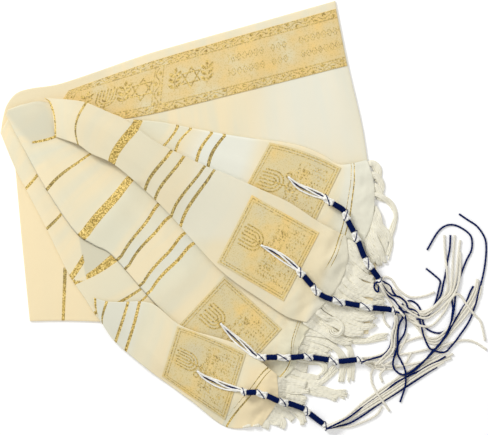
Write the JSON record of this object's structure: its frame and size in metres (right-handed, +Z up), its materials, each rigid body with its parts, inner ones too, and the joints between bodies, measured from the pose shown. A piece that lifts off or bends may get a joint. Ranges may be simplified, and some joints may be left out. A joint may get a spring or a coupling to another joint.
{
  "type": "folded tallit prayer shawl",
  "caption": "Small fringed prayer shawl folded and laid flat, with a brocade neckband, square corner patches and wound, knotted corner tassels.",
  "frame": {"origin": "on the surface the shawl lies on, under the centre of its bounding box", "axes": "+Z up from the surface, +X towards the centre fold and the fringe, +Y towards the neckband"},
  "size_m": [0.6416, 0.5722, 0.0266],
  "materials": {
    "cream_cloth": "soft matt weave with glittering gold stripes",
    "gold_satin": "satin brocade",
    "white_fringe": "soft spun yarn",
    "navy_thread": "wound spun thread"
  },
  "bodies": {
    "root": {"back_panel": "cream_cloth", "front_low": "cream_cloth", "front_one": "cream_cloth", "front_two": "cream_cloth", "front_three": "cream_cloth", "front_four": "cream_cloth", "neckband": "gold_satin", "patch_one": "gold_satin", "patch_two": "gold_satin", "patch_three": "gold_satin", "patch_four": "gold_satin", "fringe_one": "white_fringe", "fringe_two": "white_fringe", "fringe_three": "white_fringe", "fringe_four": "white_fringe", "tzitzit_one": "navy_thread", "tzitzit_two": "navy_thread", "tzitzit_three": "navy_thread", "tzitzit_four": "navy_thread", "tassel_one": "white_fringe", "tassel_two": "white_fringe", "tassel_three": "white_fringe", "tassel_four": "white_fringe"}
  },
  "joints": []
}
